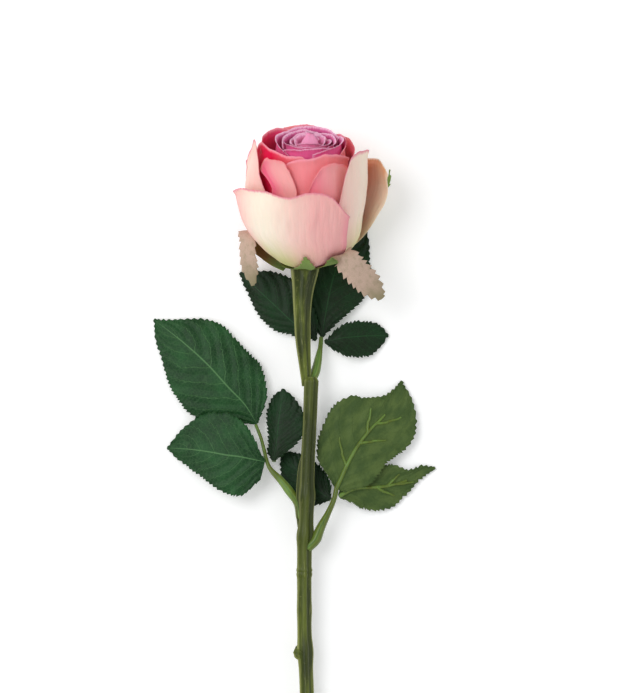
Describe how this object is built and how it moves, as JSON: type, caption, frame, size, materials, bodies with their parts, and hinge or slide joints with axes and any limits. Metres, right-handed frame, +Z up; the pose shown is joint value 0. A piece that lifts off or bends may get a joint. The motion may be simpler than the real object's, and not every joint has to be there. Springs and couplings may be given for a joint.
{
  "type": "artificial cut rose",
  "caption": "Artificial rose on a cut stem, lying down: half-open bloom of nested cloth petals, turned-down sepals, jointed moulded stem and leaf sprays of three leaflets",
  "frame": {"origin": "on the table, under the middle of the rose's bounding box", "axes": "+Z up from the table it lies on; +Y along the stem from the cut end to the bloom; +X to the bloom's right as seen from above with the bloom away from the viewer"},
  "size_m": [0.1414, 0.4184, 0.0676],
  "materials": {
    "petal_mauve": "matt printed cloth, mauve pink with magenta depths",
    "petal_coral": "matt printed cloth, coral pink deepening to crimson",
    "petal_blush": "matt printed cloth, pink to peach",
    "petal_cream": "matt printed cloth, cream with pink edges and a pale green foot",
    "sepal_cloth": "matt printed cloth, beige pink inside and green outside",
    "calyx_green": "moulded, satin green",
    "moulded_stem": "moulded olive green with a soft shine and fine lengthwise flutes",
    "moulded_petiole": "moulded, satin light green",
    "leaf_green": "coated cloth with printed veins, mid green",
    "leaf_dark": "coated cloth with printed veins, dark green",
    "leaf_underside": "matt cloth grain, dull olive green, with moulded ribs"
  },
  "bodies": {
    "root": {"blush_petal_back": "petal_blush", "blush_petal_left": "petal_blush", "blush_petal_right": "petal_blush", "blush_petal_side": "petal_blush", "bud_petal": "petal_mauve", "calyx": "calyx_green", "coral_petal_back": "petal_coral", "coral_petal_left": "petal_coral", "coral_petal_right": "petal_coral", "coral_petal_side": "petal_coral", "coral_petal_under": "petal_coral", "guard_petal_front": "petal_cream", "guard_petal_left": "petal_cream", "guard_petal_outer": "petal_cream", "guard_petal_right": "petal_cream", "guard_petal_under": "petal_cream", "guard_petal_wing": "petal_cream", "heart_petal_1": "petal_mauve", "heart_petal_2": "petal_mauve", "heart_petal_3": "petal_mauve", "inner_petal_1": "petal_mauve", "inner_petal_2": "petal_mauve", "inner_petal_3": "petal_mauve", "leaf_left_big": "leaf_green", "leaf_left_inner": "leaf_dark", "leaf_left_low": "leaf_green", "leaf_right_big": "leaf_underside", "leaf_right_inner": "leaf_dark", "leaf_right_low": "leaf_underside", "leaf_upper_left": "leaf_dark", "leaf_upper_right": "leaf_dark", "leaf_upper_side": "leaf_dark", "mauve_petal_1": "petal_mauve", "mauve_petal_2": "petal_mauve", "mauve_petal_3": "petal_mauve", "mauve_petal_4": "petal_mauve", "petiole_left": "moulded_petiole", "petiole_right": "moulded_petiole", "petiole_upper": "moulded_petiole", "sepal_back_left": "sepal_cloth", "sepal_back_right": "sepal_cloth", "sepal_front": "sepal_cloth", "sepal_left": "sepal_cloth", "sepal_right": "sepal_cloth", "stem_base": "moulded_stem", "stem_middle": "moulded_stem", "stem_neck": "moulded_stem", "whorl_petal_1": "petal_mauve", "whorl_petal_2": "petal_mauve", "whorl_petal_3": "petal_mauve"}
  },
  "joints": []
}
